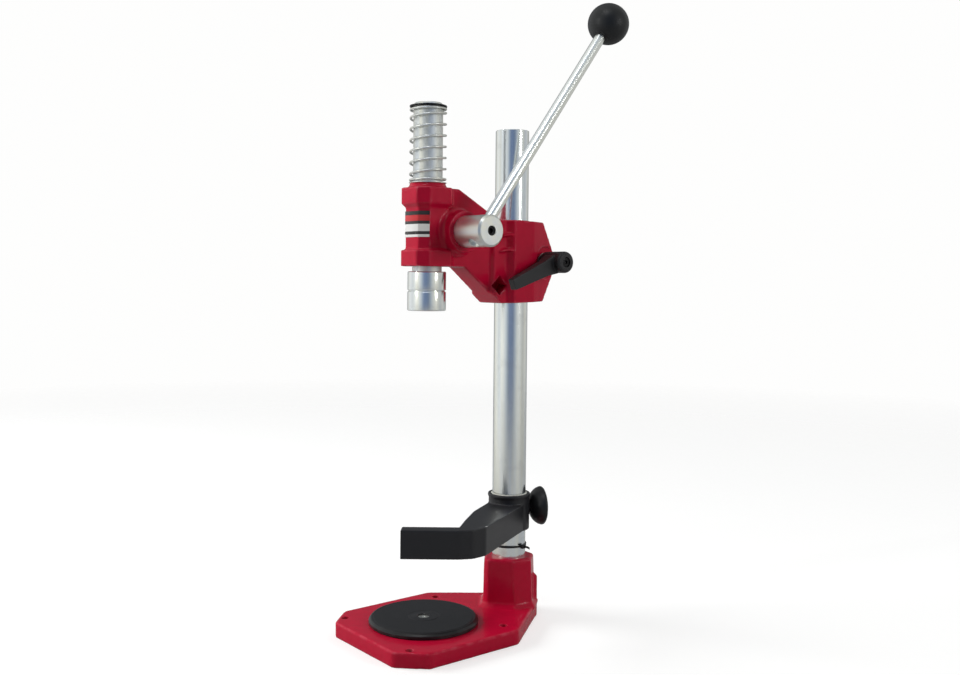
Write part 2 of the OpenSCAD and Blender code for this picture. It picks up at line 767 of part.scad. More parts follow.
module arm_knob() {
    r = knob_d / 2;
    color(black) at_knob() translate([knob_near - side_gap, 0, 0]) rotate([0, 90, 0]) rotate_extrude()
        polygon([[knob_stud_r, 0], [7, 0], [0.6 * r, 1.5], [0.8 * r, 4.6], [r - 1.5, 8.5], [r, 11.5],
            [r, knob_t - 3], [r - 2.5, knob_t - 0.6], [0, knob_t + 0.6], [0, knob_t - 3],
            [knob_stud_r, knob_t - 3]]);
}

module arm_knob_stud() {
    color(steel) at_knob() x_bar(knob_stud_r, liner_r + side_gap, knob_near - side_gap + knob_t - 3);
}

base_casting();
column();
column_set_screws();
bottle_rest();
rest_screw();
cable_tie();
head_casting();
label();
spring_washer();
return_spring();
clamp_nut();
clamp_washer();
clamp_stud();
clamp_hub();
clamp_handle();
clamp_handle_screw();
clamp_handle_spring();
pinion_shaft();
lever_rod();
ball_knob();
knob_insert();
lever_set_screw();
shaft_washer();
shaft_circlip();
ram();
ram_circlip();
die_holder();
crimping_die();
cap_plunger();
cap_magnet();
plunger_spring();
arm_liner();
bottle_arm();
arm_knob();
arm_knob_stud();
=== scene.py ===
import json
import math

import bpy
from mathutils import Matrix, Vector, noise

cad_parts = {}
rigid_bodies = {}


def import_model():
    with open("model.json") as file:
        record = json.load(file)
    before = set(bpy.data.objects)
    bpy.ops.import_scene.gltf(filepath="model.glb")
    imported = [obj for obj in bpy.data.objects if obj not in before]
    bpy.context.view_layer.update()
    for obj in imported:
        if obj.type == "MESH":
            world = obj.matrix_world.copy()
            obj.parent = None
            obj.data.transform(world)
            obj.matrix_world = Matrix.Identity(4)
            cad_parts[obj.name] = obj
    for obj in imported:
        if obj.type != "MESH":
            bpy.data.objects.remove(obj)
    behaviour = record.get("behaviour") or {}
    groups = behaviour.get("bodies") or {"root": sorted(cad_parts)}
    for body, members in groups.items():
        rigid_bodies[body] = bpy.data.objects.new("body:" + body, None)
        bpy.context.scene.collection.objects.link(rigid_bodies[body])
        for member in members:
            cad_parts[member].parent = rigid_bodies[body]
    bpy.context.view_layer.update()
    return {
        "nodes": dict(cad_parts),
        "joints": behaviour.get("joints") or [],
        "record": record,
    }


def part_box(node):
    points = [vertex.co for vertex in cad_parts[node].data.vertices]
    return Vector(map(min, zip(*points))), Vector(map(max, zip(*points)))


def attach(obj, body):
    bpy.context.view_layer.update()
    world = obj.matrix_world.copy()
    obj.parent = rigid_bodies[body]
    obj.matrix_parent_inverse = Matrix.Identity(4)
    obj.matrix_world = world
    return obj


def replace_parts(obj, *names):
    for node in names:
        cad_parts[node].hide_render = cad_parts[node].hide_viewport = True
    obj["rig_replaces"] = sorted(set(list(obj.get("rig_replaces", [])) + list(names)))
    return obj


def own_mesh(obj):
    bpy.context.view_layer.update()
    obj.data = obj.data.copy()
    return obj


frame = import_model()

bl_info = {
    "name": "Bench crown capper",
    "version": (1, 0, 0),
    "blender": (4, 5, 0),
    "location": "3D View > Sidebar > Capper",
    "description": "Finished surfaces, finishes and studio for the bench crown capper's frame",
    "category": "Object",
}

MM = 0.001
RECORD = frame["record"]
BODY_OF = {node: body for body, nodes in RECORD["behaviour"]["bodies"].items() for node in nodes}
SLOT_OF = {row["node"]: row["material_slot"] for row in RECORD["subparts"]}
JOINTS = {joint["name"]: joint for joint in frame["joints"]}


LUMP_SIZE = 14 * MM  # how far apart the lumps of a cast skin lie
COVER = 5 * MM  # how far a cutter reaches past what it cuts


# ---------------------------------------------------------------- sizes and colours


def length(name, description, default):
    """A length property; its default is in mm."""
    return bpy.props.FloatProperty(name=name, description=description, default=default * MM,
                                   unit="LENGTH", precision=5)


def colour(name, description, default):
    return bpy.props.FloatVectorProperty(name=name, description=description, subtype="COLOR",
                                         size=3, min=0, max=1, default=default)


class CapperSizes(bpy.types.PropertyGroup):
    cast_voxel: length("Casting grain", "Size of the grid the castings are skinned with", 1.1)
    cast_lump: length("Casting lumps", "How far the cast skin wanders from flat", 0.22)
    plate_corner: length("Plate corner radius", "Round on the upright corners of the base plate", 6)
    foot_fillet: length("Foot fillet", "Fillet between column socket and base plate", 4)
    boss_fillet: length("Boss fillet", "Fillet between bearing boss and ram guide", 4)
    arm_corner: length("Arm corner radius", "Round on the outer corners of the bottle arm", 2)
    moulded_voxel: length("Moulding grain", "Size of the grid the mouldings are skinned with", 0.8)
    edge: length("Machined edge", "Width of the broken edge on machined pieces", 0.35)
    spring_wire: length("Spring wire", "Diameter of the return spring's wire", 2.3)
    saw_cut: length("Saw marks", "Unevenness of the column's sawn top", 0.5)


class CapperColours(bpy.types.PropertyGroup):
    paint: colour("Paint", "Stoved paint of both castings", (0.46, 0.004, 0.03))
    bright: colour("Bright plating", "Column, ram and dies", (0.86, 0.875, 0.88))
    plated: colour("Zinc plating", "Shaft, spring and small fittings", (0.74, 0.745, 0.74))
    blackened: colour("Blackened steel", "Screws and circlips", (0.025, 0.025, 0.028))
    arm: colour("Arm", "Moulded bottle arm", (0.012, 0.012, 0.014))
    handle: colour("Handle", "Clamp handle", (0.014, 0.014, 0.015))
    knob: colour("Knobs", "Ball and arm knob", (0.008, 0.009, 0.01))
    rubber: colour("Rubber", "Bottle rest", (0.004, 0.004, 0.005))
    nylon: colour("Nylon tie", "Cable tie on the column", (0.008, 0.008, 0.009))
    liner: colour("Liner", "Nylon sleeve in the arm", (0.68, 0.68, 0.61))
    brass: colour("Brass", "Threaded insert in the ball", (0.6, 0.42, 0.16))
    label_red: colour("Label red", "Red bands of the label", (0.55, 0.012, 0.02))
    floor: colour("Floor", "Studio floor", (0.46, 0.46, 0.455))


def sizes():
    return bpy.context.scene.capper_sizes


def colours():
    return bpy.context.scene.capper_colours


# ---------------------------------------------------------------- shader building


def put(tree, kind, values=(), **settings):
    """Adds a node. values maps its inputs to constants or to the sockets that feed them."""
    node = tree.nodes.new(kind)
    for key, value in settings.items():
        setattr(node, key, value)
    for key, value in dict(values).items():
        if isinstance(value, bpy.types.NodeSocket):
            tree.links.new(value, node.inputs[key])
        else:
            node.inputs[key].default_value = value
    return node


def math_node(tree, operation, first, second=0.0):
    return put(tree, "ShaderNodeMath", {0: first, 1: second}, operation=operation).outputs[0]


def blend_colour(tree, factor, first, second):
    """Mixes two colours by factor."""
    node = put(tree, "ShaderNodeMix", data_type="RGBA")
    for key, value in (("Factor_Float", factor), ("A_Color", first), ("B_Color", second)):
        socket = next(item for item in node.inputs if item.identifier == key)
        if isinstance(value, bpy.types.NodeSocket):
            tree.links.new(value, socket)
        else:
            socket.default_value = value
    return next(item for item in node.outputs if item.identifier == "Result_Color")


def ranged(tree, value, start, end, low=0.0, high=1.0):
    """Turns start to end into low to high, and goes no further."""
    return put(tree, "ShaderNodeMapRange", {"Value": value, "From Min": start, "From Max": end,
                                            "To Min": low, "To Max": high}).outputs[0]


def spread(tree, value, low, high):
    """Turns a 0 to 1 value into low to high."""
    return ranged(tree, value, 0.0, 1.0, low, high)


def noise_value(tree, where, scale, **settings):
    """A noise texture's value."""
    return put(tree, "ShaderNodeTexNoise", {"Vector": where, "Scale": scale, **settings}).outputs[0]


def vector_node(tree, operation, first, second=(0, 0, 0)):
    """A Vector Math node; its number if it gives one, or else its vector."""
    node = put(tree, "ShaderNodeVectorMath", {0: first, 1: second}, operation=operation)
    return node.outputs["Value" if operation in ("LENGTH", "DOT_PRODUCT") else "Vector"]


def rgba(tint, gain=1.0):
    return (tint[0] * gain, tint[1] * gain, tint[2] * gain, 1.0)


def colour_ramp(tree, factor, stops, interpolation="LINEAR"):
    """Turns a 0 to 1 value into the colours of the (place, colour) stops."""
    node = put(tree, "ShaderNodeValToRGB", {0: factor})
    ramp = node.color_ramp
    ramp.interpolation = interpolation
    while len(ramp.elements) < len(stops):
        ramp.elements.new(0.5)
    for element, (start, tint) in zip(ramp.elements, stops):
        element.position = start
        element.color = tint
    return node.outputs[0]


def new_group(name, inputs, outputs):
    """An empty node group. inputs and outputs map each socket's name to its type."""
    tree = bpy.data.node_groups.new(name, "ShaderNodeTree")
    for socket, kind in inputs.items():
        tree.interface.new_socket(socket, in_out="INPUT", socket_type=kind)
    for socket, kind in outputs.items():
        tree.interface.new_socket(socket, in_out="OUTPUT", socket_type=kind)
    return tree, tree.nodes.new("NodeGroupInput").outputs, tree.nodes.new("NodeGroupOutput").inputs


NUMBER = "NodeSocketFloat"
VECTOR = "NodeSocketVector"


def cast_skin_group():
    """Slow lumps, fine orange peel and stray grains of a painted sand casting."""
    tree, given, out = new_group(
        "Cast skin", {"Vector": VECTOR, "Lump scale": NUMBER, "Peel scale": NUMBER},
        {"Height": NUMBER, "Mottle": NUMBER})
    lump = noise_value(tree, given["Vector"], given["Lump scale"], Detail=3.0, Roughness=0.55)
    peel = noise_value(tree, given["Vector"], given["Peel scale"], Detail=1.0)
    cell = put(tree, "ShaderNodeTexVoronoi", {
        "Vector": given["Vector"], "Scale": given["Lump scale"]}).outputs[0]
    grains = math_node(tree, "MULTIPLY", ranged(tree, cell, 0.0, 0.14, 1.0, 0.0),
                       ranged(tree, lump, 0.5, 0.62))
    height = math_node(tree, "ADD", lump, math_node(tree, "MULTIPLY", peel, 0.16))
    height = math_node(tree, "ADD", height, math_node(tree, "MULTIPLY", grains, 0.25))
    tree.links.new(height, out["Height"])
    tree.links.new(lump, out["Mottle"])
    return tree


def edge_wear_and_highlight_group():
    """Convex edges, broken up by noise: rubbed edges on mouldings, and in the paint a painted highlight on
    edges that catch the light.
    """
    tree, given, out = new_group("Edge wear", {"Vector": VECTOR, "Reach": NUMBER}, {"Mask": NUMBER})
    edge = ranged(tree, put(tree, "ShaderNodeNewGeometry").outputs["Pointiness"], 0.51, 0.58)
    patch = ranged(tree, noise_value(tree, given["Vector"], 90.0, Detail=4.0), 0.4, 0.65)
    mask = math_node(tree, "MULTIPLY", math_node(tree, "MULTIPLY", edge, patch), given["Reach"])
    tree.links.new(mask, out["Mask"])
    return tree


def drawn_lines_group():
    """Fine lines along local Z, as drawing or grinding leaves them, with slow bands between."""
    tree, given, out = new_group(
        "Drawn lines", {"Vector": VECTOR, "Fineness": NUMBER, "Stretch": NUMBER},
        {"Lines": NUMBER, "Bands": NUMBER})
    squeeze = put(tree, "ShaderNodeCombineXYZ", {0: 1.0, 1: 1.0, 2: given["Stretch"]}).outputs[0]
    along = vector_node(tree, "MULTIPLY", given["Vector"], squeeze)
    fine = noise_value(tree, along, given["Fineness"], Detail=3.0, Roughness=0.6)
    slow = noise_value(tree, along, math_node(tree, "MULTIPLY", given["Fineness"], 0.08), Detail=2.0)
    tree.links.new(fine, out["Lines"])
    tree.links.new(slow, out["Bands"])
    return tree


def turned_lines_group():
    """Fine rings round local Z, as a lathe leaves them."""
    tree, given, out = new_group("Turned lines", {"Vector": VECTOR, "Rings": NUMBER}, {"Lines": NUMBER})
    parts = put(tree, "ShaderNodeSeparateXYZ", {0: given["Vector"]}).outputs
    level = put(tree, "ShaderNodeCombineXYZ", {0: parts[0], 1: parts[1]}).outputs[0]
    radius = vector_node(tree, "LENGTH", level)
    ring = math_node(tree, "MULTIPLY", math_node(tree, "ADD", radius, parts[2]), given["Rings"])
    lines = put(tree, "ShaderNodeTexNoise", {"W": ring, "Scale": 1.0, "Detail": 3.0, "Roughness": 0.7},
                noise_dimensions="1D").outputs[0]
    tree.links.new(lines, out["Lines"])
    return tree


def fine_grain_group():
    """Small even grain with slow patches, for mouldings and rubber."""
    tree, given, out = new_group("Fine grain", {"Vector": VECTOR, "Grain scale": NUMBER},
                                 {"Height": NUMBER, "Patch": NUMBER})
    grain = noise_value(tree, given["Vector"], given["Grain scale"], Detail=2.0)
    slow = math_node(tree, "MULTIPLY", given["Grain scale"], 0.02)
    patch = noise_value(tree, given["Vector"], slow, Detail=3.0)
    tree.links.new(grain, out["Height"])
    tree.links.new(patch, out["Patch"])
    return tree


GROUP_MAKERS = {
    "Cast skin": cast_skin_group,
    "Edge wear": edge_wear_and_highlight_group,
    "Drawn lines": drawn_lines_group,
    "Turned lines": turned_lines_group,
    "Fine grain": fine_grain_group,
}


def effect(tree, name, **values):
    """Places a shared effect in a material and returns its outputs."""
    group = bpy.data.node_groups.get(name) or GROUP_MAKERS[name]()
    node = tree.nodes.new("ShaderNodeGroup")
    node.node_tree = group
    for key, value in values.items():
        socket = node.inputs[key.replace("_", " ")]
        if isinstance(value, bpy.types.NodeSocket):
            tree.links.new(value, socket)
        else:
            socket.default_value = value
    return node.outputs


def start_material(name, **constants):
    """A material with its Principled shader; constants go straight on the shader's sockets."""
    material = bpy.data.materials.new(name)
    material.use_nodes = True
    tree = material.node_tree
    shader = tree.nodes["Principled BSDF"]
    for key, value in constants.items():
        shader.inputs[key.replace("_", " ")].default_value = value
    return material, tree, shader


def place(tree, centre=(0, 0, 0), turn=(0, 0, 0)):
    """Object coordinates, centred on a piece and turned so that its length lies along Z."""
    where = put(tree, "ShaderNodeTexCoord").outputs["Object"]
    moved = vector_node(tree, "SUBTRACT", where, tuple(centre))
    return put(tree, "ShaderNodeMapping", {"Vector": moved, "Rotation": turn}).outputs[0]


def feed(tree, shader, key, socket):
    tree.links.new(socket, shader.inputs[key])


def bump(tree, shader, height, distance, strength):
    node = put(tree, "ShaderNodeBump", {"Height": height, "Distance": distance, "Strength": strength})
    feed(tree, shader, "Normal", node.outputs[0])


# ---------------------------------------------------------------- finishes


def paint_finish(name):
    """Glossy stoved paint on a cast skin. Convex edges are painted paler and pinker, a painted highlight for
    edges that catch the light.
    """
    tint = colours().paint
    material, tree, shader = start_material(name, Specular_IOR_Level=0.16)
    where = place(tree)
    skin = effect(tree, "Cast skin", Vector=where, Lump_scale=110.0, Peel_scale=900.0)
    # painted highlight: this edge mask lightens the convex edges of the paint, in place of the light they
    # catch
    edge_wear_and_highlight = effect(tree, "Edge wear", Vector=where, Reach=0.8)["Mask"]
    body = blend_colour(tree, spread(tree, skin["Mottle"], 0.1, 0.9), rgba(tint, 0.86), rgba(tint, 1.12))
    # pale is the painted highlight colour of the lit edges
    pale = (tint[0] * 1.3 + 0.06, tint[1] + 0.1, tint[2] + 0.12, 1.0)
    feed(tree, shader, "Base Color", blend_colour(tree, edge_wear_and_highlight, body, pale))
    feed(tree, shader, "Roughness", spread(tree, skin["Mottle"], 0.06, 0.18))
    bump(tree, shader, skin["Height"], 0.0007, 0.3)
    return material


def plated_finish(name, tint, rough, centre=(0, 0, 0), turn=(0, 0, 0), fineness=1500.0, stretch=0.03,
                  rings=0.0, tinge=0.5, dark=0.0, matt=0.0, depth=0.00003):
    """Plated steel with the lines of drawing or turning, and a slight blue and straw tinge."""
    material, tree, shader = start_material(name, Metallic=1.0)
    where = place(tree, centre, turn)
    drawn = effect(tree, "Drawn lines", Vector=where, Fineness=fineness, Stretch=stretch)
    lines = drawn["Lines"]
    if rings:
        ring = effect(tree, "Turned lines", Vector=where, Rings=rings)["Lines"]
        lines = math_node(tree, "MULTIPLY", math_node(tree, "ADD", lines, ring), 0.5)
    cloud = noise_value(tree, where, 45.0, Detail=5.0)
    cool = (tint[0] * 0.9, tint[1] * 0.96, tint[2] * 1.04, 1.0)
    straw = (tint[0], tint[1] * 0.99, tint[2] * 0.9, 1.0)
    hue = blend_colour(tree, ranged(tree, drawn["Bands"], 0.35, 0.65, 0.0, tinge), straw, cool)
    stain = ranged(tree, cloud, 0.55, 0.8, 0.0, dark)
    feed(tree, shader, "Base Color", blend_colour(tree, stain, hue, rgba(tint, 0.45)))
    uneven = math_node(tree, "ADD", spread(tree, lines, -0.08, 0.1), spread(tree, cloud, -0.05, 0.06))
    feed(tree, shader, "Roughness", math_node(tree, "ADD", uneven, rough + matt))
    bump(tree, shader, lines, depth, 0.4)
    return material


def moulded_finish(name, tint, rough, grain=1600.0, depth=0.00008, dust=0.25):
    """Moulded plastic or rubber: fine grain, uneven gloss and a breath of dust."""
    material, tree, shader = start_material(name, Specular_IOR_Level=0.32)
    where = place(tree)
    skin = effect(tree, "Fine grain", Vector=where, Grain_scale=grain)
    edge_wear_and_highlight = effect(tree, "Edge wear", Vector=where, Reach=0.5)["Mask"]
    grey = (tint[0] + 0.05, tint[1] + 0.05, tint[2] + 0.05, 1.0)
    dusty = math_node(tree, "MULTIPLY", spread(tree, skin["Patch"], 0.0, dust), 0.5)
    base = blend_colour(tree, dusty, rgba(tint), grey)
    feed(tree, shader, "Base Color", blend_colour(tree, edge_wear_and_highlight, base, grey))
    feed(tree, shader, "Roughness", spread(tree, skin["Patch"], rough - 0.07, rough + 0.09))
    bump(tree, shader, skin["Height"], depth, 0.5)
    return material


def label_finish(name):
    """Printed film with plain black, red and white bands, split up and down its height."""
    material, tree, shader = start_material(name, Specular_IOR_Level=0.2, Coat_Weight=0.2,
                                            Coat_Roughness=0.08)
    low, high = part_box("label")
    where = place(tree)
    up = put(tree, "ShaderNodeSeparateXYZ", {0: where}).outputs[2]
    black = (0.012, 0.011, 0.012, 1.0)
    white = (0.78, 0.78, 0.76, 1.0)
    scuffed = (0.3, 0.28, 0.27, 1.0)
    red = rgba(colours().label_red)
    stops = ((0.0, white), (0.1, black), (0.22, white), (0.5, black), (0.62, red), (0.84, black))
    bands = colour_ramp(tree, ranged(tree, up, low.z, high.z), stops, "CONSTANT")
    scuff = effect(tree, "Fine grain", Vector=where, Grain_scale=2500.0)
    worn = spread(tree, scuff["Patch"], 0.0, 0.12)
    feed(tree, shader, "Base Color", blend_colour(tree, worn, bands, scuffed))
    feed(tree, shader, "Roughness", spread(tree, scuff["Patch"], 0.15, 0.3))
    bump(tree, shader, scuff["Height"], 0.00003, 0.4)
    return material


FINISHES = {}


def finish(node, **changes):
    """The material that a node's slot in the record calls for; changes make a variant of it."""
    slot = SLOT_OF[node]
    name = f"{slot} of {node}" if changes else slot
    if name in FINISHES:
        return FINISHES[name]
    tint = colours()
    if slot == "red_paint":
        material = paint_finish(name)
    elif slot == "chrome":
        material = plated_finish(name, tint.bright, 0.2, **changes)
    elif slot == "zinc":
        material = plated_finish(name, tint.plated, 0.34, **changes)
    elif slot == "brass":
        material = plated_finish(name, tint.brass, 0.28, **changes)
    elif slot == "black_oxide":
        material = plated_finish(name, tint.blackened, 0.38, tinge=0.2)
    elif slot == "black_rubber":
        material = moulded_finish(name, tint.rubber, 0.3, grain=1100.0, depth=0.00006, dust=0.15)
    elif slot == "gloss_black":
        material = moulded_finish(name, tint.arm, 0.36, grain=900.0, depth=0.00003)
    elif slot == "satin_black":
        material = moulded_finish(name, tint.handle, 0.44, grain=2200.0, depth=0.00015)
    elif slot == "knob_black":
        material = moulded_finish(name, tint.knob, 0.42, grain=1300.0, depth=0.00003, dust=0.1)
    elif slot == "nylon":
        material = moulded_finish(name, tint.nylon, 0.35)
    elif slot == "liner_white":
        material = moulded_finish(name, tint.liner, 0.45, grain=800.0)
    elif slot == "label_film":
        material = label_finish(name)
    else:
        raise ValueError(f"no finish for the slot {slot}")
    FINISHES[name] = material
    return material


# ---------------------------------------------------------------- mesh building


def nothing_selected():
    bpy.ops.object.select_all(action="DESELECT")


def solo(*objects):
    """Selects only these objects; the first is active."""
    nothing_selected()
    for item in objects:
        item.select_set(True)
    bpy.context.view_layer.objects.active = objects[0]


def apply_modifiers(piece):
    solo(piece)
    for modifier in list(piece.modifiers):
        bpy.ops.object.modifier_apply(modifier=modifier.name)


def settle(piece):
    """Puts the piece's place into its mesh."""
    piece.data.transform(piece.matrix_world)
    piece.matrix_world = Matrix.Identity(4)


def join(*pieces):
    solo(*pieces)
    bpy.ops.object.join()
    return pieces[0]


def in_edit_mode(piece, *steps):
    """Runs the steps in edit mode, with the whole mesh selected before each."""
    solo(piece)
    bpy.ops.object.mode_set(mode="EDIT")
    for step in steps:
        bpy.ops.mesh.select_all(action="SELECT")
        step()
    bpy.ops.object.mode_set(mode="OBJECT")


def pick(piece, kind, test):
    """Selects only the vertices, edges or faces that pass the test, and stays in edit mode."""
    solo(piece)
    bpy.ops.object.mode_set(mode="EDIT")
    bpy.ops.mesh.select_mode(type=kind)
    bpy.ops.mesh.select_all(action="DESELECT")
    bpy.ops.object.mode_set(mode="OBJECT")
    mesh = piece.data
    parts = {"VERT": mesh.vertices, "EDGE": mesh.edges, "FACE": mesh.polygons}[kind]
    for part in parts:
        part.select = test(part)
    bpy.ops.object.mode_set(mode="EDIT")


def extrude(x, y, z):
    """Pulls the selected faces out along a step in metres."""
    bpy.ops.mesh.extrude_region_move(TRANSFORM_OT_translate={"value": (x, y, z)})


def bevel_picked(piece, width, segments, test):
    """Rounds the edges that pass the test, which is given both end points."""
    pick(piece, "EDGE", lambda edge: test(*(piece.data.vertices[end].co for end in edge.vertices)))
    bpy.ops.mesh.bevel(offset=width, segments=segments, affect="EDGES", clamp_overlap=True)
    bpy.ops.object.mode_set(mode="OBJECT")


def outline_solid(name, points, low, high):
    """A prism whose plan is a polygon, in mm."""
    nothing_selected()
    bpy.ops.mesh.primitive_circle_add(vertices=len(points), radius=MM, fill_type="NGON")
    piece = bpy.context.object
    piece.name = name
    for vertex, (x, y) in zip(piece.data.vertices, points):
        vertex.co = (x * MM, y * MM, low * MM)
    in_edit_mode(
        piece,
        lambda: extrude(0, 0, (high - low) * MM),
        lambda: bpy.ops.mesh.normals_make_consistent(inside=False))
    return piece


def turned(name, profile, centre=(0, 0, 0), axis=(0, 0, 1), steps=96):
    """A body of revolution. profile is a closed loop of (radius, height) in mm; centre is in metres."""
    nothing_selected()
    bpy.ops.mesh.primitive_circle_add(vertices=len(profile), radius=MM, fill_type="NOTHING")
    piece = bpy.context.object
    piece.name = name
    for vertex, (radius, height) in zip(piece.data.vertices, profile):
        vertex.co = (radius * MM, 0, height * MM)
    in_edit_mode(
        piece,
        lambda: bpy.ops.mesh.spin(steps=steps, angle=2 * math.pi, center=(0, 0, 0), axis=(0, 0, 1)),
        lambda: bpy.ops.mesh.remove_doubles(threshold=0.004 * MM),
        lambda: bpy.ops.mesh.delete_loose(),
        lambda: bpy.ops.mesh.normals_make_consistent(inside=False))
    turn = Vector(axis).to_track_quat("Z", "Y").to_matrix().to_4x4()
    piece.data.transform(Matrix.Translation(Vector(centre)) @ turn)
    return piece


def arc(centre, radius, start, end, count):
    """Points on an arc, angles in degrees."""
    angles = [math.radians(start + (end - start) * step / count) for step in range(count + 1)]
    return [(centre[0] + radius * math.cos(angle), centre[1] + radius * math.sin(angle))
            for angle in angles]


def cad_copy(name, node):
    """An editable copy of a CAD node, with its loose triangles merged into flat faces."""
    source = frame["nodes"][node]
    piece = bpy.data.objects.new(name, source.data.copy())
    bpy.context.scene.collection.objects.link(piece)
    piece.matrix_world = source.matrix_world
    settle(piece)
    piece.data.materials.clear()
    for attribute in ("custom_normal", "sharp_edge"):
        if attribute in piece.data.attributes:
            piece.data.attributes.remove(piece.data.attributes[attribute])
    in_edit_mode(
        piece,
        lambda: bpy.ops.mesh.remove_doubles(threshold=0.002 * MM),
        lambda: bpy.ops.mesh.dissolve_limited(angle_limit=math.radians(0.6)))
    return piece


def break_edges(piece, width, segments=2):
    """Rounds every edge that turns by more than 30 degrees."""
    modifier = piece.modifiers.new("Broken edge", "BEVEL")
    modifier.width = width
    modifier.segments = segments
    modifier.limit_method = "ANGLE"
    modifier.angle_limit = math.radians(30)
    modifier.use_clamp_overlap = True
    apply_modifiers(piece)


def skin_over(piece, voxel, rounds, lump=0.0):
    """One skin over all shells, with rounded edges and a slightly wandering surface."""
    remesh = piece.modifiers.new("Skin", "REMESH")
    remesh.mode = "VOXEL"
    remesh.voxel_size = voxel
    remesh.use_smooth_shade = True
    smooth = piece.modifiers.new("Round", "SMOOTH")
    smooth.factor = 0.5
    smooth.iterations = rounds
    if lump:
        texture = bpy.data.textures.new("Lumps", "CLOUDS")
        texture.noise_scale = LUMP_SIZE
        displace = piece.modifiers.new("Lumps", "DISPLACE")
        displace.texture = texture
        displace.texture_coords = "GLOBAL"
        displace.strength = lump
    apply_modifiers(piece)


def carve(piece, *cutters):
    """Cuts each cutter's shape out of the piece."""
    for cutter in cutters:
        boolean = piece.modifiers.new("Cut", "BOOLEAN")
        boolean.operation = "DIFFERENCE"
        boolean.solver = "EXACT"
        boolean.object = cutter
        apply_modifiers(piece)
        bpy.data.objects.remove(cutter)


def rod_cutter(radius, start, end):
    """A round plug or cutter between two points, in metres."""
    span = Vector(end) - Vector(start)
    wide, long = radius / MM, span.length / MM
    return turned("cutter", [(0, 0), (wide, 0), (wide, long), (0, long)], start, span)


def block(centre, scale):
    """A box, in mm, as the start of a piece."""
    nothing_selected()
    bpy.ops.mesh.primitive_cube_add(size=1, location=Vector(centre) * MM, scale=Vector(scale) * MM)
    piece = bpy.context.object
    settle(piece)
    return piece


def hand_over(piece, node, angle=32, material=None):
    """Shades the piece, and gives it its finish, its body and the CAD node that it stands for."""
    solo(piece)
    bpy.ops.object.shade_smooth_by_angle(angle=math.radians(angle))
    piece.data.materials.clear()
    piece.data.materials.append(material or finish(node))
    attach(piece, BODY_OF[node])
    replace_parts(piece, node)


def centre_of(node):
    low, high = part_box(node)
    return (low + high) / 2


# ---------------------------------------------------------------- pieces


class CAPPER_OT_base(bpy.types.Operator):
    """Cast base plate with its column socket"""
    bl_idname = "capper.base"
    bl_label = "Base casting"

    def execute(self, context):
        size = sizes()
        piece = cad_copy("base_body", "base_casting")
        low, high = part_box("base_casting")
        axis = centre_of("column")
        top = 15 * MM  # of the plate
        bore_low = 8 * MM
        skin = 0.3 * MM  # plugs end this far under the surface

        def plate_corner(first, second):
            upright = (first - second).xy.length < 0.01 * MM and abs(first.z - second.z) > 0.9 * top
            outside = abs(first.x) > high.x - MM or first.y < low.y + MM or first.y > axis.y + 14 * MM
            return upright and outside and max(first.z, second.z) < top + MM

        bevel_picked(piece, size.plate_corner, 5, plate_corner)
        foot = [(3.6, -32), (26.4, -12.7), (29.8, 8.2), (14, 26)]  # the socket's plan, one side
        foot += [(-x, y) for x, y in reversed(foot)]
        grow = 1 + size.foot_fillet / (30 * MM)
        plan = [(x * grow, y * grow + axis.y / MM) for x, y in foot]
        skirt = outline_solid("skirt", plan, top / MM - 2, top / MM + 0.2)
        pick(skirt, "FACE", lambda face: face.normal.z > 0.9)
        extrude(0, 0, size.foot_fillet)
        bpy.ops.transform.resize(value=(1 / grow, 1 / grow, 1), center_override=(axis.x, axis.y, 0))
        bpy.ops.object.mode_set(mode="OBJECT")
        bolts = next(mount for mount in RECORD["mounts"] if mount["name"] == "bench_bolts")["dims"]
        spots = [(x * bolts["spacing_x_mm"] / 2 * MM, y * bolts["spacing_y_mm"] / 2 * MM)
                 for x in (-1, 1) for y in (-1, 1)]
        plugs = [rod_cutter(19 * MM, (axis.x, axis.y, bore_low - MM), (axis.x, axis.y, high.z - skin))]
        plugs += [rod_cutter(5 * MM, (x, y, 0.2 * MM), (x, y, top - 0.2 * MM)) for x, y in spots]
        piece = join(piece, skirt, *plugs)
        skin_over(piece, size.cast_voxel * 1.15, 4, size.cast_lump)
        below = [(-150, -150), (150, -150), (150, 250), (-150, 250)]
        carve(piece,
              rod_cutter(18.05 * MM, (axis.x, axis.y, bore_low), (axis.x, axis.y, high.z + COVER)),
              *(rod_cutter(4 * MM, (x, y, -COVER), (x, y, top + COVER)) for x, y in spots),
              outline_solid("cutter", below, -20, 0))
        hand_over(piece, "base_casting", 40)
        return {"FINISHED"}


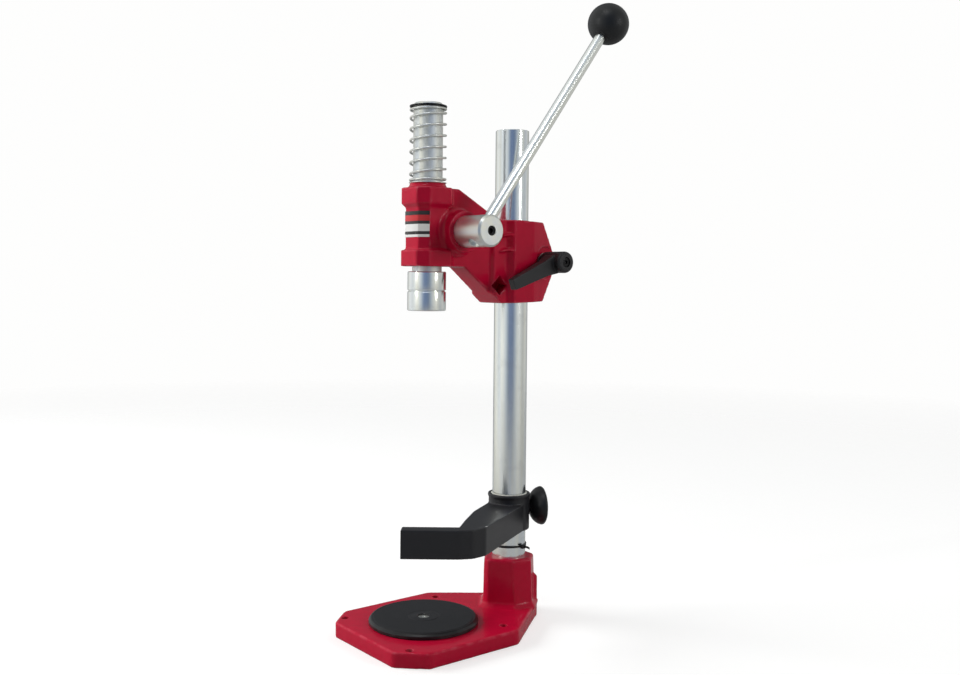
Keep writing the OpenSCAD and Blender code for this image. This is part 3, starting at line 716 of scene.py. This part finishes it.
class CAPPER_OT_head(bpy.types.Operator):
    """Cast head: ram guide, web, bearing boss and column clamp"""
    bl_idname = "capper.head"
    bl_label = "Head casting"

    def execute(self, context):
        size = sizes()
        piece = cad_copy("head_body", "head_casting")
        low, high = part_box("head_casting")
        axis = centre_of("column")
        pivot = Vector(JOINTS["lever_turn"]["pos_m"])
        guide_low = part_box("die_holder")[1].z + 5.1 * MM
        clamp_high = guide_low + 51.3 * MM
        boss_end = 30.7 * MM
        play = 0.08 * MM  # round the ram, the column and the shaft
        skin = 0.4 * MM  # plugs end this far under the surface
        extras = [self.flare(pivot, side, size.boss_fillet / MM) for side in (-1, 1)]
        extras += [self.lip(y, z, half) for z, y, half in ((407, 91, 10), (391, 90, 12))]

        def upright(radius, centre, bottom, top):
            return rod_cutter(radius, (centre.x, centre.y, bottom), (centre.x, centre.y, top))

        def level(radius, left, right):
            return rod_cutter(radius, (left, pivot.y, pivot.z), (right, pivot.y, pivot.z))

        ram = Vector((0, 0, 0))
        extras += [upright(15.5 * MM, ram, guide_low + skin, high.z - skin),
                   upright(19 * MM, axis, low.z + skin, clamp_high - skin),
                   level(17 * MM, -12 * MM, boss_end),
                   level(11 * MM, -boss_end, 0)]
        piece = join(piece, *extras)
        skin_over(piece, size.cast_voxel, 3, size.cast_lump)
        slit = [(-1.5, axis.y / MM), (1.5, axis.y / MM), (1.5, 200), (-1.5, 200)]
        carve(piece,
              self.pocket(axis.y, low.z),
              outline_solid("cutter", slit, 300, 500),
              upright(15 * MM + play, ram, low.z - 2 * COVER, high.z + 2 * COVER),
              upright(18 * MM + play, axis, low.z - 2 * COVER, high.z + 2 * COVER),
              level(16 * MM + play, -13.5 * MM, 60 * MM),
              level(10 * MM + play, -60 * MM, 0))
        hand_over(piece, "head_casting", 40)
        return {"FINISHED"}

    def flare(self, pivot, side, reach):
        """The fillet where the bearing boss leaves the guide; reach is in mm."""
        boss = 21
        profile = [(0, 0), (boss + reach, 0), (boss + reach, 3), (boss + 0.35 * reach, 3 + 0.5 * reach),
                   (boss, 3 + 1.4 * reach), (0, 3 + 1.4 * reach)]
        return turned("flare", profile, (side * 16 * MM, pivot.y, pivot.z), (side, 0, 0))

    def lip(self, y, z, half):
        """A soft cast lip, bowed upwards, on the side of the web; all in mm."""
        nothing_selected()
        bpy.ops.mesh.primitive_uv_sphere_add(segments=24, ring_count=12, radius=1)
        piece = bpy.context.object
        for vertex in piece.data.vertices:
            out, along, up = vertex.co
            bow = 2.2 * (1 - along * along)
            vertex.co = Vector((20 + 6 * out, y + half * along, z + 1.7 * up + bow)) * MM
        return piece

    def pocket(self, back, bottom):
        """A diamond cutter for the mark on the side of the clamp."""
        nothing_selected()
        bpy.ops.mesh.primitive_cylinder_add(vertices=4, radius=1, depth=1)
        piece = bpy.context.object
        for vertex in piece.data.vertices:
            across, up, out = vertex.co
            vertex.co = Vector((18 + 24 * out, 9.4 * across - 31.5, 10.2 * up + 18.8)) * MM
            vertex.co += Vector((0, back, bottom))
        return piece


class CAPPER_OT_label(bpy.types.Operator):
    """Banded film round the waist of the ram guide"""
    bl_idname = "capper.label"
    bl_label = "Label"

    def execute(self, context):
        piece = cad_copy("label_strip", "label")
        proud = 1.012  # stands clear of the rounded guide
        for vertex in piece.data.vertices:
            vertex.co.x *= proud
            vertex.co.y *= proud
        break_edges(piece, 0.08 * MM, 1)
        hand_over(piece, "label")
        return {"FINISHED"}


class CAPPER_OT_column(bpy.types.Operator):
    """Plated column tube with its sawn top"""
    bl_idname = "capper.column"
    bl_label = "Column"

    def execute(self, context):
        size = sizes()
        low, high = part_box("column")
        axis = centre_of("column")
        bottom, top = low.z / MM, high.z / MM
        bore, outside = 14, 18
        profile = [(bore, bottom), (outside, bottom), (outside, top - 30), (outside, top - 4),
                   (outside, top - 0.5), (17.6, top), (14.3, top), (bore, top - 0.4)]
        piece = turned("column_tube", profile, (axis.x, axis.y, 0), steps=128)
        teeth = 420  # saw marks per metre
        for vertex in piece.data.vertices:
            if vertex.co.z > high.z - MM:
                spot = Vector((vertex.co.x, vertex.co.y, 0)) * teeth
                vertex.co.z += size.saw_cut * (noise.noise(spot) - 0.5)
        hand_over(piece, "column", material=finish("column", centre=axis, dark=0.35, tinge=0.8))
        return {"FINISHED"}


class CAPPER_OT_rest(bpy.types.Operator):
    """Moulded bottle rest with its bevelled rim"""
    bl_idname = "capper.rest"
    bl_label = "Bottle rest"

    def execute(self, context):
        low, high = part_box("bottle_rest")
        radius, bottom, top = high.x / MM, low.z / MM, high.z / MM
        rim = [(radius - 0.8, bottom), (radius, bottom + 0.8), (radius, top - 2.7),
               (radius - 0.5, top - 2), (radius - 2.2, top - 0.3), (radius - 3, top)]
        grooves = [(place + step, top - sunk) for place in (radius - 4.8, 15.6)
                   for step, sunk in ((0.4, 0), (0, 0.25), (-0.4, 0))]
        seat = [(6.6, top), (6.1, top - 0.5), (6.1, top - 1), (3.1, top - 4)]
        profile = [(3.1, bottom), *rim, *grooves, *seat]
        piece = turned("rest_disc", profile, steps=160)
        hand_over(piece, "bottle_rest", 28)
        return {"FINISHED"}


class CAPPER_OT_tie(bpy.types.Operator):
    """Nylon tie round the column, with its head and tail"""
    bl_idname = "capper.tie"
    bl_label = "Cable tie"

    def execute(self, context):
        low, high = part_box("cable_tie")
        axis = centre_of("column")
        middle = (low.z + high.z) / 2
        half = 1.15
        profile = [(18.05, -half), (18.9, -half), (19.15, -0.8), (19.15, 0.8), (18.9, half), (18.05, half)]
        band = turned("tie_band", profile, (axis.x, axis.y, middle))
        head = block((20.9, 0, 0), (4.2, 5.6, 4.2))
        break_edges(head, 0.7 * MM, 3)
        tail = block((24, 0.4, 0), (2, 0.9, 2.2))
        for step in range(3):
            pick(tail, "FACE", lambda face: face.normal.x > 0.7)
            extrude(1.5 * MM, 0, -0.3 * MM * step)
            bpy.ops.object.mode_set(mode="OBJECT")
        break_edges(tail, 0.2 * MM, 2)
        turn = Matrix.Translation((axis.x, axis.y, middle)) @ Matrix.Rotation(math.radians(8), 4, "Z")
        for part in (head, tail):
            part.data.transform(turn)
        piece = join(band, head, tail)
        piece.name = "tie_strap"
        hand_over(piece, "cable_tie")
        return {"FINISHED"}


class CAPPER_OT_spring(bpy.types.Operator):
    """Return spring between the head and the ram's circlip"""
    bl_idname = "capper.spring"
    bl_label = "Return spring"
    turns: bpy.props.FloatProperty(name="Turns", description="Turns with the two closed ends", default=8.1)
    phase: bpy.props.FloatProperty(name="Phase", description="Where the wire starts, in degrees", default=88)

    def execute(self, context):
        size = sizes()
        low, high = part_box("return_spring")
        wire = size.spring_wire
        radius = (high.x - low.x - wire) / 2
        start, end = low.z + wire / 2, high.z - wire / 2
        rise = end - start - 2 * wire

        def height(turn):
            if turn < 1:
                return start + turn * wire
            if turn > self.turns - 1:
                return end - (self.turns - turn) * wire
            return start + wire + rise * (turn - 1) / (self.turns - 2)

        count = int(self.turns * 48)  # points along the wire
        line = bpy.data.curves.new("spring_wire", "CURVE")
        line.dimensions = "3D"
        line.bevel_depth = wire / 2
        line.bevel_resolution = 5
        line.use_fill_caps = True
        spline = line.splines.new("POLY")
        spline.points.add(count)
        for index, point in enumerate(spline.points):
            turn = self.turns * index / count
            angle = math.radians(self.phase) + 2 * math.pi * turn
            point.co = (radius * math.cos(angle), radius * math.sin(angle), height(turn), 1)
        piece = bpy.data.objects.new("spring_wire", line)
        bpy.context.scene.collection.objects.link(piece)
        solo(piece)
        bpy.ops.object.convert(target="MESH")
        piece = bpy.context.object
        hand_over(piece, "return_spring", 50)
        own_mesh(piece)
        return {"FINISHED"}


class CAPPER_OT_lever(bpy.types.Operator):
    """Lever rod and ball"""
    bl_idname = "capper.lever"
    bl_label = "Lever and ball"

    def execute(self, context):
        ball = centre_of("ball_knob")
        pivot = Vector(JOINTS["lever_turn"]["pos_m"])
        pivot.x = ball.x
        lean = (ball - pivot).normalized()
        reach = (ball - pivot).length / MM
        low, high = -13.5, reach - 6.4
        bevel = 0.6
        rod = turned("lever_bar", [(0, low), (6 - bevel, low), (6, low + bevel), (6, high - bevel),
                                   (6 - bevel, high), (0, high)], pivot, lean, 64)
        ground = finish("lever_rod", centre=pivot, turn=(math.acos(lean.z), 0, 0), tinge=0.7,
                        fineness=420.0, depth=0.000003, matt=0.06)
        hand_over(rod, "lever_rod", material=ground)
        radius = 22.5
        foot = -radius + 1.2
        lid = foot + 1.6
        roof = foot + 14
        seam = 0.6  # half the width of the mould line, which is sunk a little
        profile = [(8.6, roof), (8.6, lid), (6.15, lid), (6.15, foot + 0.2), (6.4, foot)]
        profile += [(x * (0.996 if abs(y) < seam else 1), y) for x, y in arc((0, 0), radius, -69, 90, 60)]
        profile += [(0, roof)]
        hand_over(turned("ball_grip", profile, ball, lean), "ball_knob", 40)
        sleeve = [(6.05, lid + 0.1), (8.5, lid + 0.1), (8.5, roof - 0.1), (6.05, roof - 0.1)]
        hand_over(turned("ball_insert", sleeve, ball, lean, 48), "knob_insert")
        return {"FINISHED"}


class CAPPER_OT_handle(bpy.types.Operator):
    """Clamp handle: a hub with a tapered grip"""
    bl_idname = "capper.handle"
    bl_label = "Clamp handle"

    def execute(self, context):
        size = sizes()
        pivot = Vector(JOINTS["clamp_turn"]["pos_m"])
        low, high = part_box("clamp_handle")
        start, end = low.x / MM, high.x / MM
        wide, crown = 11.5, 3.2
        profile = [(0, start), (wide - 0.9, start), (wide, start + 1.2), (wide, end - crown),
                   *arc((wide - crown, end - crown), crown, 0, 90, 6), (0, end)]
        hub = turned("handle_grip", profile, (0, pivot.y, pivot.z), (1, 0, 0))
        grip = block((end - 16.5, -4, 0), (15, 8, 20))
        for run, drift, shrink in ((14, 2.4, 0.8), (20, 3.0, 0.88), (24, 3.4, 0.88), (8, 1.2, 0.92)):
            pick(grip, "FACE", lambda face: face.normal.y < -0.7)
            extrude(drift * MM, -run * MM, 0)
            bpy.ops.object.mode_set(mode="OBJECT")
            chosen = [vertex for vertex in grip.data.vertices if vertex.select]
            middle = sum((vertex.co for vertex in chosen), Vector()) / len(chosen)
            for vertex in chosen:
                vertex.co = middle + (vertex.co - middle) * shrink
        drop = Matrix.Translation((0, pivot.y, pivot.z)) @ Matrix.Rotation(math.radians(19), 4, "X")
        grip.data.transform(drop)
        piece = join(hub, grip)
        skin_over(piece, size.moulded_voxel * 0.75, 4)
        for radius, near, far in ((7.3, start - 1, start + 12), (5.5, end - 5.2, end + 1)):
            carve(piece, rod_cutter(radius * MM, (near * MM, pivot.y, pivot.z),
                                    (far * MM, pivot.y, pivot.z)))
        hand_over(piece, "clamp_handle", 40)
        return {"FINISHED"}


class CAPPER_OT_arm(bpy.types.Operator):
    """Moulded bottle arm with its collar, and the knob that clamps it"""
    bl_idname = "capper.arm"
    bl_label = "Bottle arm"

    def execute(self, context):
        size = sizes()
        piece = cad_copy("arm_moulding", "bottle_arm")
        low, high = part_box("bottle_arm")
        axis = centre_of("column")

        def outer_corner(first, second):
            return (first - second).xy.length < 0.01 * MM and first.x > high.x - 12 * MM

        bevel_picked(piece, size.arm_corner, 6, outer_corner)
        top = high.z / MM
        profile = [(20, top - 4), (22, top - 4), (22.8, top - 3.2), (22.9, top - 1.2), (22.4, top),
                   (20, top)]
        piece = join(piece, turned("lip", profile, (axis.x, axis.y, 0)))
        skin_over(piece, size.moulded_voxel, 4)
        collar_bore = 19.38 * MM
        carve(piece, rod_cutter(collar_bore, (axis.x, axis.y, low.z - COVER),
                                (axis.x, axis.y, high.z + COVER)))
        hand_over(piece, "bottle_arm", 40)
        joint = JOINTS["arm_screw_turn"]
        near, far, wide = 23.5, 41.5, 20.5
        profile = [(4.05, near), (7.2, near), (8.2, near + 0.2), (12.2, near + 1.7), (15.4, near + 3.8),
                   (17.9, near + 6.4), (19.5, near + 9), *arc((wide - 2.6, near + 12.4), 2.6, -25, 85, 8),
                   (16, far - 2.2), (14.5, far - 2.4), (13.5, far - 1.6), (6, far), (0, far + 0.2),
                   (0, far - 3), (4.05, far - 3)]
        knob = turned("arm_grip", profile, joint["pos_m"], joint["axis"], 112)
        hand_over(knob, "arm_knob", 40)
        return {"FINISHED"}


class CAPPER_OT_machined(bpy.types.Operator):
    """Shaft, ram, dies, screws and rings: machined pieces with broken edges"""
    bl_idname = "capper.machined"
    bl_label = "Machined pieces"

    def execute(self, context):
        size = sizes()
        along_x = (0, -math.pi / 2, 0)
        lines = {
            "pinion_shaft": {"centre": centre_of("pinion_shaft"), "turn": along_x, "rings": 5200.0,
                             "dark": 0.3},
            "ram": {"dark": 0.3, "tinge": 0.8, "matt": 0.22},
            "die_holder": {"rings": 6000.0, "tinge": 0.7},
            "crimping_die": {"rings": 6000.0, "tinge": 0.7},
            "cap_plunger": {"rings": 5000.0},
        }
        edge_share = {"die_holder": 1.2, "crimping_die": 1.2, "column_set_screws": 0.8,
                      "lever_set_screw": 0.6, "plunger_spring": 0, "clamp_handle_spring": 0, "ram": 0,
                      "pinion_shaft": 0}
        springs = {"plunger_spring": ("plunger_travel", Vector((0, 0, 1))),
                   "clamp_handle_spring": ("clamp_lift", Vector((1, 0, 0)))}
        made = {name for item in bpy.data.objects for name in item.get("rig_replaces", [])}
        for node in sorted(set(frame["nodes"]) - made):
            piece = cad_copy(node + "_finished", node)
            width = size.edge * edge_share.get(node, 1)
            if width:
                break_edges(piece, width)
            hand_over(piece, node, material=finish(node, **lines.get(node, {})))
            if node in springs:
                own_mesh(piece)
        return {"FINISHED"}


# ---------------------------------------------------------------- studio


class CAPPER_OT_studio(bpy.types.Operator):
    """Camera, floor, softboxes and sky"""
    bl_idname = "capper.studio"
    bl_label = "Studio"

    def execute(self, context):
        self.camera()
        self.floor()
        self.sky()
        self.softbox("key", (-1.4, -1.3, 1.1), (1.2, 1.0), 44)
        self.softbox("side", (1.8, 1.0, 0.9), (1.0, 0.8), 13)
        self.softbox("rim", (-0.6, 1.7, 1.9), (1.2, 1.0), 8)
        self.softbox("left strip", (-0.4, -2.2, 1.0), (0.05, 0.9), 6, mirrored=True)
        self.softbox("right strip", (2.1, 0.9, 0.9), (0.05, 0.9), 5, mirrored=True)
        self.softbox("top strip", (0.6, -0.8, 2.4), (0.9, 0.25), 8, mirrored=True)
        view = context.scene.view_settings
        view.view_transform = "Standard"
        view.look = "None"
        return {"FINISHED"}

    def camera(self):
        data = bpy.data.cameras.new("camera")
        data.lens = 38.78
        data.sensor_width = 36
        data.shift_y = -0.065
        data.clip_start = 0.05  # metres
        camera = bpy.data.objects.new("camera", data)
        bpy.context.scene.collection.objects.link(camera)
        camera.location = (0.852, -0.6124, 0.3665)
        camera.rotation_euler = (math.radians(90), math.radians(-0.55), math.radians(51.35))
        bpy.context.scene.camera = camera

    def floor(self):
        """A disc whose rim fades into the sky."""
        nothing_selected()
        bpy.ops.mesh.primitive_circle_add(vertices=96, radius=3, fill_type="NGON",
                                          location=(0, 0, -0.2 * MM))
        floor = bpy.context.object
        floor.name = "floor"
        material, tree, shader = start_material("floor", Roughness=0.7, Specular_IOR_Level=0.2,
                                                Emission_Color=(0.97, 0.97, 0.965, 1))
        glow = 0.62
        fade_start, fade_end = 0.7, 2.6  # metres from the middle
        grain = effect(tree, "Fine grain", Vector=place(tree), Grain_scale=300.0)
        tint = colours().floor
        feed(tree, shader, "Base Color", blend_colour(tree, grain["Patch"], rgba(tint, 0.985), rgba(tint)))
        seen = put(tree, "ShaderNodeLightPath").outputs["Is Camera Ray"]
        feed(tree, shader, "Emission Strength", math_node(tree, "MULTIPLY", seen, glow))
        reach = vector_node(tree, "LENGTH", place(tree))
        feed(tree, shader, "Alpha", ranged(tree, reach, fade_start, fade_end, 1.0, 0.0))
        floor.data.materials.append(material)

    def sky(self):
        """Pale all round for the eye; for reflections, bright panels with a dim gap behind the camera."""
        world = bpy.data.worlds.new("sky")
        bpy.context.scene.world = world
        world.use_nodes = True
        tree = world.node_tree
        tree.nodes.clear()
        away = put(tree, "ShaderNodeTexCoord").outputs["Generated"]
        flat = vector_node(tree, "MULTIPLY", away, (1, 1, 0.25))
        unit = vector_node(tree, "NORMALIZE", flat)
        gap = vector_node(tree, "DOT_PRODUCT", unit, (0.79, -0.613, 0))
        side = vector_node(tree, "DOT_PRODUCT", unit, (0.613, 0.79, 0))
        stops = ((0.0, (0.16, 0.17, 0.18, 1)), (0.05, (0.36, 0.37, 0.38, 1)), (0.13, (0.7, 0.71, 0.71, 1)),
                 (0.3, (0.84, 0.84, 0.83, 1)), (0.5, (0.66, 0.67, 0.66, 1)), (0.7, (0.84, 0.85, 0.83, 1)),
                 (0.86, (0.78, 0.8, 0.8, 1)), (0.94, (0.5, 0.56, 0.64, 1)), (0.985, (0.17, 0.23, 0.36, 1)))
        colour = colour_ramp(tree, ranged(tree, gap, -1.0, 1.0), stops)
        rays = put(tree, "ShaderNodeLightPath").outputs

        def background(tint, strength):
            return put(tree, "ShaderNodeBackground", {"Color": tint, "Strength": strength}).outputs[0]

        def mixed(share, first, second):
            return put(tree, "ShaderNodeMixShader", {0: share, 1: first, 2: second}).outputs[0]

        soft = background((0.95, 0.97, 1.0, 1), ranged(tree, gap, -1.0, 1.0, 0.42, 0.06))
        panels = background(colour, ranged(tree, side, -1.0, 1.0, 1.12, 0.72))
        pale = background((0.99, 0.99, 0.985, 1), 1.0)
        lit = mixed(rays["Is Glossy Ray"], soft, panels)
        put(tree, "ShaderNodeOutputWorld", {"Surface": mixed(rays["Is Camera Ray"], lit, pale)})

    def softbox(self, name, spot, shape, power, mirrored=False):
        """An area lamp aimed at the machine; only a mirrored one shows up in reflections."""
        data = bpy.data.lights.new(name, "AREA")
        data.shape = "RECTANGLE"
        data.size, data.size_y = shape
        data.energy = power
        lamp = bpy.data.objects.new(name, data)
        bpy.context.scene.collection.objects.link(lamp)
        lamp.location = spot
        lamp.visible_glossy = mirrored
        aim = Vector((0, 0.06, 0.25)) - Vector(spot)
        lamp.rotation_euler = aim.to_track_quat("-Z", "Y").to_euler()


# ---------------------------------------------------------------- panel and main


STEPS = (CAPPER_OT_studio, CAPPER_OT_base, CAPPER_OT_head, CAPPER_OT_label, CAPPER_OT_column,
         CAPPER_OT_rest, CAPPER_OT_tie, CAPPER_OT_spring, CAPPER_OT_lever, CAPPER_OT_handle,
         CAPPER_OT_arm, CAPPER_OT_machined)


class CAPPER_PT_panel(bpy.types.Panel):
    """Lists the steps in building order"""
    bl_idname = "CAPPER_PT_panel"
    bl_label = "Bench crown capper"
    bl_space_type = "VIEW_3D"
    bl_region_type = "UI"
    bl_category = "Capper"

    def draw(self, context):
        for step in STEPS:
            self.layout.operator(step.bl_idname)
        for group in (context.scene.capper_sizes, context.scene.capper_colours):
            box = self.layout.box()
            for name in group.bl_rna.properties.keys():
                if name not in ("rna_type", "name"):
                    box.prop(group, name)


CLASSES = (CapperSizes, CapperColours, *STEPS, CAPPER_PT_panel)


def register():
    for item in CLASSES:
        bpy.utils.register_class(item)
    bpy.types.Scene.capper_sizes = bpy.props.PointerProperty(type=CapperSizes)
    bpy.types.Scene.capper_colours = bpy.props.PointerProperty(type=CapperColours)


def unregister():
    del bpy.types.Scene.capper_sizes
    del bpy.types.Scene.capper_colours
    for item in reversed(CLASSES):
        bpy.utils.unregister_class(item)


def main():
    register()
    for step in STEPS:
        group, name = step.bl_idname.split(".")
        getattr(getattr(bpy.ops, group), name)()


if __name__ == "__main__":
    main()
